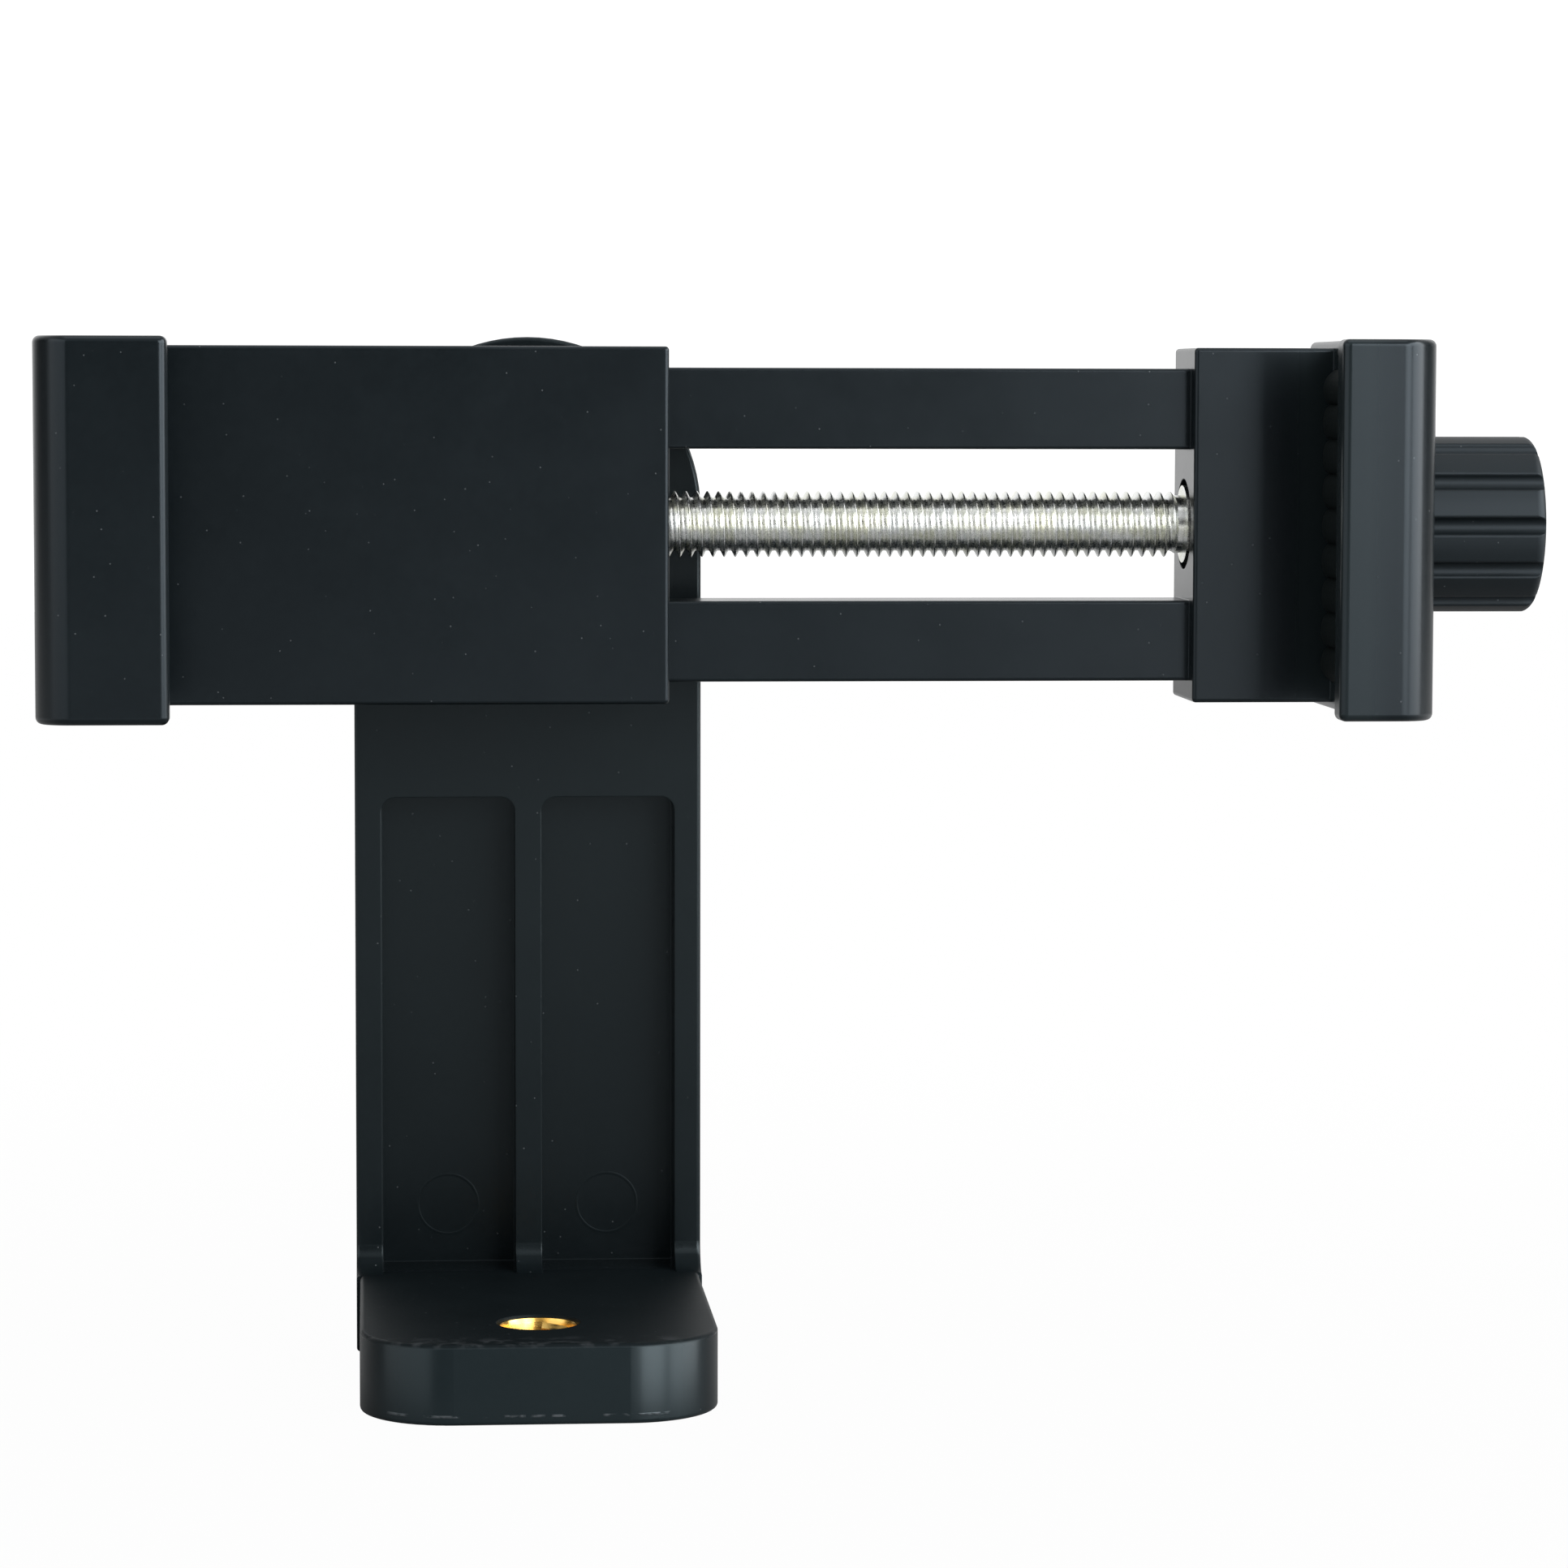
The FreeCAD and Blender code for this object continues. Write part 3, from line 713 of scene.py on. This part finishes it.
@dataclass
class LeadScrew:
    """The clamp's M6 screw with its rolled thread, plain shank, ring groove and buried head."""

    pitch: float = 1.0 * MM
    crest_radius: float = 2.98 * MM
    root_radius: float = 2.40 * MM
    runout: float = 0.5 * MM
    runout_power: float = 1.5
    shank_radius: float = 2.6 * MM
    groove_radius: float = 2.2 * MM
    head_length: float = 7.0 * MM
    tip_chamfer: float = 0.9 * MM
    steps_a_turn: int = 40
    shank_steps: int = 64
    seam: float = 0.002 * MM
    overlap: float = 0.4 * MM
    overlap_step: float = 0.15 * MM
    thread_stop: float = 0.7 * MM

    def thread_profile(self) -> list[tuple[float, float]]:
        """One pitch of the thread, root to root.

        Returns:
            Its outline as (share of the pitch, radius) pairs.
        """
        depth = self.crest_radius - self.root_radius
        shares = [(0.0, 0.02), (0.08, 0.0), (0.16, 0.06), (0.40, 0.86), (0.455, 0.99), (0.50, 1.0),
                  (0.545, 0.99), (0.60, 0.86), (0.84, 0.06), (0.92, 0.0), (1.0, 0.02)]
        return [(share, self.root_radius + depth * height) for share, height in shares]

    def cut_thread(self, mesh: bmesh.types.BMesh, start: float, end: float, centre: Vector) -> None:
        """Winds the thread, trims it and closes both ends.

        Args:
            mesh: where it goes.
            start: place of the tip along X.
            end: place along X where the thread has run out.
            centre: a point on the screw's axis.
        """
        turns = math.ceil((end - start) / self.pitch) + 2
        first = start - self.pitch
        points = [mesh.verts.new((first + share * self.pitch, centre.y, centre.z + radius))
                  for share, radius in self.thread_profile()]
        edges = [mesh.edges.new(pair) for pair in zip(points, points[1:])]
        advance = Vector((self.pitch / self.steps_a_turn, 0, 0))
        bmesh.ops.spin(mesh, geom=points + edges, cent=centre, axis=Axis.X.vector, dvec=advance,
                       angle=2 * math.pi * turns, steps=self.steps_a_turn * turns)
        bmesh.ops.remove_doubles(mesh, verts=mesh.verts, dist=self.seam)
        for place, normal in ((start, -1), (end, 1)):
            everything = list(mesh.verts) + list(mesh.edges) + list(mesh.faces)
            bmesh.ops.bisect_plane(mesh, geom=everything, plane_co=(place, 0, 0), plane_no=(normal, 0, 0),
                                   clear_outer=True)
        for vertex in mesh.verts:
            radial = Vector((0, vertex.co.y - centre.y, vertex.co.z - centre.z))
            radius = radial.length
            wanted = min(radius, self.crest_radius - max(0.0, start + self.tip_chamfer - vertex.co.x))
            fade = min(1.0, max(0.0, (vertex.co.x - (end - self.runout)) / self.runout))
            wanted += (self.shank_radius - wanted) * fade ** self.runout_power
            vertex.co += radial * (wanted / radius - 1)
        bmesh.ops.holes_fill(mesh, edges=[e for e in mesh.edges if e.is_boundary], sides=0)

    def build(self, zinc: bpy.types.Material) -> bpy.types.Object:
        """Makes the screw.

        Args:
            zinc: its finish.

        Returns:
            The piece.
        """
        low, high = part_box("lead_screw")
        ring_low, ring_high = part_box("retaining_ring")
        centre = Vector((0, (low.y + high.y) / 2, (low.z + high.z) / 2))
        thread_end = ring_low.x - self.thread_stop
        mesh = bmesh.new()
        self.cut_thread(mesh, low.x, thread_end, centre)
        head = high.x - self.head_length
        head_radius = (high.z - low.z) / 2
        spun(mesh, [
            (thread_end - self.overlap, 0),
            (thread_end - self.overlap, self.shank_radius - self.overlap_step),
            (thread_end, self.shank_radius),
            (ring_low.x, self.shank_radius),
            (ring_low.x, self.groove_radius),
            (ring_high.x, self.groove_radius),
            (ring_high.x, self.shank_radius),
            (head, self.shank_radius),
            (head, head_radius),
            (high.x, head_radius),
            (high.x, 0),
        ], centre, Axis.X, self.shank_steps)
        return finish_piece("lead_screw_threaded", mesh, zinc, "lead_screw", ("lead_screw",), 50.0)


@dataclass
class TripodThread:
    """The brass insert in the foot with its quarter-inch thread of 20 turns an inch."""

    pitch: float = 1.27 * MM
    minor_radius: float = 2.62 * MM
    major_radius: float = 3.175 * MM
    mouth_radius: float = 3.35 * MM
    flange_radius: float = 3.7 * MM
    flange_depth: float = 0.5 * MM
    lead_in: float = 0.45 * MM
    lead_in_left: float = 0.7
    buried: float = 0.08 * MM
    root_share: float = 0.42
    crest_share: float = 0.06
    steps_a_turn: int = 72

    def build(self, brass: bpy.types.Material) -> bpy.types.Object:
        """Makes the insert.

        Args:
            brass: its finish.

        Returns:
            The piece.
        """
        low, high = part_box("tripod_insert")
        barrel = (high.x - low.x) / 2
        shoulder = high.z - self.flange_depth
        mesh = bmesh.new()
        spun(mesh, [
            (low.z, self.major_radius),
            (low.z, barrel),
            (shoulder, barrel),
            (shoulder, self.flange_radius),
            (high.z, self.flange_radius),
            (high.z, self.mouth_radius),
            (high.z - self.lead_in, self.major_radius),
        ], Vector((0, 0, 0)), Axis.Z)
        half = self.pitch * self.root_share
        crest = self.pitch * self.crest_share
        bottom = low.z + half
        turns = (high.z - self.lead_in * self.lead_in_left - half - bottom) / self.pitch
        steps = round(self.steps_a_turn * turns)
        root = self.major_radius + self.buried
        corners = [(root, -half), (self.minor_radius, -crest), (self.minor_radius, crest), (root, half)]
        section = [mesh.verts.new((radius, 0, bottom + rise)) for radius, rise in corners]
        face = mesh.faces.new(section)
        bmesh.ops.spin(mesh, geom=[face], cent=(0, 0, 0), axis=Axis.Z.vector, angle=2 * math.pi * turns,
                       steps=steps, dvec=(0, 0, self.pitch * turns / steps))
        return finish_piece("tripod_insert_threaded", mesh, brass, "bracket",
                            ("tripod_insert",), 30.0)


@dataclass
class RibbedPad:
    """A jaw's rubber pad: a rounded rectangle with crowned ridges across it."""

    node: str
    body: str
    out: int
    ridges: int = 9
    rows_a_ridge: int = 12
    columns: int = 28
    base: float = 0.5 * MM
    edge_share: float = 0.35
    corner: float = 1.3 * MM
    corner_power: int = 6
    end_round: float = 1.6 * MM

    def rounded(self, inside: float) -> float:
        """Share of the full height near the pad's edge.

        Args:
            inside: distance from the edge.

        Returns:
            0 at the edge, 1 from end_round inwards.
        """
        return math.sqrt(max(0.0, 1 - max(0.0, 1 - inside / self.end_round) ** 2))

    def build(self, rubber: bpy.types.Material) -> bpy.types.Object:
        """Makes the pad in the space of its plain solid.

        Args:
            rubber: its finish.

        Returns:
            The piece.
        """
        low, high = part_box(self.node)
        seat = low.x if self.out > 0 else high.x
        crest = high.x - low.x
        middle = (low + high) / 2
        half_y = (high.y - low.y) / 2
        half_z = (high.z - low.z) / 2
        mesh = bmesh.new()
        bmesh.ops.create_grid(mesh, x_segments=self.columns, y_segments=self.ridges * self.rows_a_ridge,
                              size=1.0)
        for vertex in mesh.verts:
            across, along = vertex.co.x, vertex.co.y
            phase = (along + 1) / 2 * self.ridges % 1.0
            arch = math.sqrt(max(0.0, 1 - (2 * phase - 1) ** 2))
            end = half_z * (1 - abs(along))
            fall = self.rounded(half_y * (1 - abs(across))) * self.rounded(end)
            height = self.base * (self.edge_share + (1 - self.edge_share) * fall)
            height += (crest - self.base) * arch * fall
            pull = self.corner * max(0.0, 1 - end / self.corner) ** 2
            y = middle.y + across * (half_y - pull * abs(across) ** self.corner_power)
            vertex.co = Vector((seat + self.out * height, y, middle.z + along * half_z))
        rim = [e for e in mesh.edges if e.is_boundary]
        skirt = bmesh.ops.extrude_edge_only(mesh, edges=rim)["geom"]
        for vertex in (v for v in skirt if isinstance(v, bmesh.types.BMVert)):
            vertex.co.x = seat
        bmesh.ops.holes_fill(mesh, edges=[e for e in mesh.edges if e.is_boundary], sides=0)
        name = self.node + "_rubber"
        return finish_piece(name, mesh, rubber, self.body, (self.node,), 60.0)


@dataclass
class Dressing:
    """Finishes for the pieces that keep the frame's own shape."""

    finishes: dict[str, tuple[str, ...]] = field(default_factory=lambda: {
        "bracket": ("bracket",),
        "clamp": ("clamp_body", "rear_cover", "moving_jaw"),
        "knob": ("clamp_knob", "swivel_knob"),
        "zinc": ("retaining_ring", "thrust_washer", "screw_nut", "swivel_bolt", "flat_washer",
                 "spring_washer"),
        "rubber": ("friction_ring",),
        "dark": ("cover_screws",),
        "brass": ("swivel_nut",),
    })

    def apply(self, materials: dict[str, bpy.types.Material]) -> None:
        """Gives every kept node its finish.

        Args:
            materials: finish name to material.
        """
        for finish, nodes in self.finishes.items():
            for node in nodes:
                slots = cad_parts[node].data.materials
                slots.clear()
                slots.append(materials[finish])
                log.info("%s: finish %s", node, finish)


@dataclass(frozen=True)
class Lamp:
    """A rectangular soft lamp that faces the clamp.

    The azimuth counts in degrees from the front towards the knob's side, the height in degrees above the
    clamp. The radiance is the brightness of its face, where 1 is the white background.
    """

    name: str
    azimuth: float
    height: float
    distance: float
    size: tuple[float, float]
    radiance: float
    aim_height: float = 0.05

    def build(self) -> None:
        """Hangs the lamp."""
        width, depth = self.size
        data = bpy.data.lights.new(self.name, "AREA")
        data.shape = "RECTANGLE"
        data.size, data.size_y = self.size
        data.energy = self.radiance * math.pi * width * depth
        lamp = bpy.data.objects.new(self.name, data)
        bpy.context.scene.collection.objects.link(lamp)
        turn, rise = math.radians(self.azimuth), math.radians(self.height)
        away = Vector((math.sin(turn) * math.cos(rise), -math.cos(turn) * math.cos(rise), math.sin(rise)))
        place = Vector((0, 0, self.aim_height)) + away * self.distance
        facing = (-away).to_track_quat("-Z", "Y").to_matrix().to_4x4()
        lamp.matrix_world = Matrix.Translation(place) @ facing
        log.info("lamp %s", self.name)


@dataclass
class Studio:
    """White floor, white surroundings, soft lamps and the camera.

    Floor distances count from the tripod thread's axis. The world's limits are coordinates of the direction
    of view: Z for upper, Y for back.
    """

    focal_pixels: float = 6275.4
    image_pixels: float = 1932.0
    sensor: float = 36.0
    camera_from_screw: Vector = field(default_factory=lambda: Vector((-13.92, -458.61, 11.98)) * MM)
    yaw_degrees: float = 4.591
    pitch_degrees: float = 4.414
    roll_degrees: float = 0.12
    floor_half: float = 1.6
    floor_roughness: float = 0.9
    floor_specular: float = 0.1
    floor_rise: tuple[float, float] = (0.10, 0.45)
    floor_fall: tuple[float, float] = (0.60, 0.95)
    # floor colour seen in reflections: painted shade near the foot, a painted lighter ring, then plain
    floor_painted_shade_near: float = 0.25
    floor_painted_light_middle: float = 0.60
    floor_colour_far: float = 0.47
    floor_fade: tuple[float, float] = (0.05, 0.28)
    floor_glow_near: float = 0.975
    floor_glow_far: float = 1.0
    front_level: float = 0.08
    upper_limits: tuple[float, float] = (0.22, 0.55)
    upper_level: float = 0.62
    back_limits: tuple[float, float] = (0.50, 0.88)
    back_level: float = 1.15
    lamps: tuple[Lamp, ...] = (
        Lamp("right_front", 31.5, 16, 1.2, (0.70, 0.75), 6.9),
        Lamp("right_side", 75, 20, 1.1, (0.95, 0.90), 6.0),
        Lamp("left", -60, 19, 1.2, (1.60, 0.90), 1.4),
        Lamp("overhead", 0, 86, 1.0, (0.80, 0.80), 1.0),
    )

    def place_camera(self) -> None:
        """Puts the camera where the photograph's was."""
        low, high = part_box("lead_screw")
        screw = Vector((0, (low.y + high.y) / 2, (low.z + high.z) / 2))
        yaw = math.radians(self.yaw_degrees)
        pitch = math.radians(self.pitch_degrees)
        level = math.cos(pitch)
        forward = Vector((math.sin(yaw) * level, math.cos(yaw) * level, -math.sin(pitch)))
        data = bpy.data.cameras.new("camera")
        data.sensor_width = self.sensor
        data.sensor_fit = "HORIZONTAL"
        data.lens = self.focal_pixels / self.image_pixels * self.sensor
        data.clip_start = 0.01
        data.clip_end = 20.0
        camera = bpy.data.objects.new("camera", data)
        bpy.context.scene.collection.objects.link(camera)
        turn = forward.to_track_quat("-Z", "Y").to_matrix().to_4x4()
        roll = Matrix.Rotation(math.radians(self.roll_degrees), 4, "Z")
        camera.matrix_world = Matrix.Translation(screw + self.camera_from_screw) @ turn @ roll
        bpy.context.scene.camera = camera

    def floor_finish(self) -> bpy.types.Material:
        """Paint that is white to the camera; for what the plastic reflects, painted shade greys it near the
        foot and a painted lighter ring lies further out.

        Returns:
            The material.
        """
        made = Recipe("floor_white")
        made.into("Roughness", self.floor_roughness)
        made.into("Specular IOR Level", self.floor_specular)
        length = made.node("VectorMath", operation="LENGTH")
        made.link(made.coordinates.outputs["Object"], length.inputs[0])
        away = length.outputs["Value"]
        # painted shade near the foot rising to a painted lighter ring, then falling to the plain far colour
        near, middle, far = self.floor_painted_shade_near, self.floor_painted_light_middle, self.floor_colour_far
        rise = map_range(made.tree, away, (*self.floor_rise, near, middle), "SMOOTHSTEP")
        colour = map_range(made.tree, away, (*self.floor_fall, middle, far), "SMOOTHSTEP")
        made.link(rise.outputs["Result"], colour.inputs["To Min"])
        made.into("Base Color", colour.outputs["Result"])
        fade = map_range(made.tree, away, (*self.floor_fade, self.floor_glow_near, self.floor_glow_far),
                         "SMOOTHSTEP")
        seen = made.node("LightPath").outputs["Is Camera Ray"]
        glow = made.node("Emission")
        glow.inputs["Color"].default_value = (1, 1, 1, 1)
        mix = made.node("MixShader")
        made.link(made.maths("MULTIPLY", seen, fade.outputs["Result"]), mix.inputs["Fac"])
        made.link(made.shader.outputs["BSDF"], mix.inputs[1])
        made.link(glow.outputs["Emission"], mix.inputs[2])
        made.link(mix.outputs["Shader"], made.tree.nodes["Material Output"].inputs["Surface"])
        return made.material

    def lay_floor(self) -> None:
        """Lays a pale floor that looks white and keeps the object's shadow."""
        mesh = bmesh.new()
        bmesh.ops.create_grid(mesh, x_segments=2, y_segments=2, size=self.floor_half)
        data = bpy.data.meshes.new("floor")
        mesh.to_mesh(data)
        mesh.free()
        floor = bpy.data.objects.new("floor", data)
        bpy.context.scene.collection.objects.link(floor)
        data.materials.append(self.floor_finish())

    def surround(self) -> None:
        """White world to the camera; for light it is bright behind, soft above and dim in front."""
        world = bpy.data.worlds.new("world")
        bpy.context.scene.world = world
        world.use_nodes = True
        tree = world.node_tree
        background = tree.nodes["Background"]
        coordinates = tree.nodes.new("ShaderNodeTexCoord")
        split = tree.nodes.new("ShaderNodeSeparateXYZ")
        tree.links.new(coordinates.outputs["Generated"], split.inputs["Vector"])
        rise = map_range(tree, split.outputs["Z"], (*self.upper_limits, self.front_level, self.upper_level),
                         "SMOOTHSTEP")
        spread = map_range(tree, split.outputs["Y"], (*self.back_limits, self.front_level, self.back_level),
                           "SMOOTHSTEP")
        tree.links.new(rise.outputs["Result"], spread.inputs["To Min"])
        path = tree.nodes.new("ShaderNodeLightPath")
        seen = tree.nodes.new("ShaderNodeMath")
        seen.operation = "MAXIMUM"
        tree.links.new(path.outputs["Is Camera Ray"], seen.inputs[0])
        tree.links.new(spread.outputs["Result"], seen.inputs[1])
        tree.links.new(seen.outputs["Value"], background.inputs["Strength"])
        background.inputs["Color"].default_value = (1, 1, 1, 1)

    def build(self) -> None:
        """Sets everything up."""
        self.place_camera()
        self.lay_floor()
        self.surround()
        for lamp in self.lamps:
            lamp.build()


def main() -> None:
    """Builds the studio and dresses the adapter, piece by piece."""
    logging.basicConfig(level=logging.INFO, format="%(name)s %(message)s")
    Studio().build()
    materials = {
        "bracket": BracketPlastic("bracket_plastic").material(),
        "clamp": ClampPlastic("clamp_plastic").material(),
        "knob": SatinPlastic("knob_plastic", roughness=0.50).material(),
        "zinc": ZincPlate("zinc_plate").material(),
        "rubber": Rubber("black_rubber").material(),
        "dark": DarkSteel("blackened_steel").material(),
        "brass": TurnedBrass("turned_brass").material(),
    }
    Dressing().apply(materials)
    LeadScrew().build(materials["zinc"])
    TripodThread().build(materials["brass"])
    RibbedPad("fixed_pad", "clamp", 1).build(materials["rubber"])
    RibbedPad("moving_pad", "moving_jaw", -1).build(materials["rubber"])
    bpy.context.scene.view_settings.view_transform = "Standard"


if __name__ == "__main__":
    main()
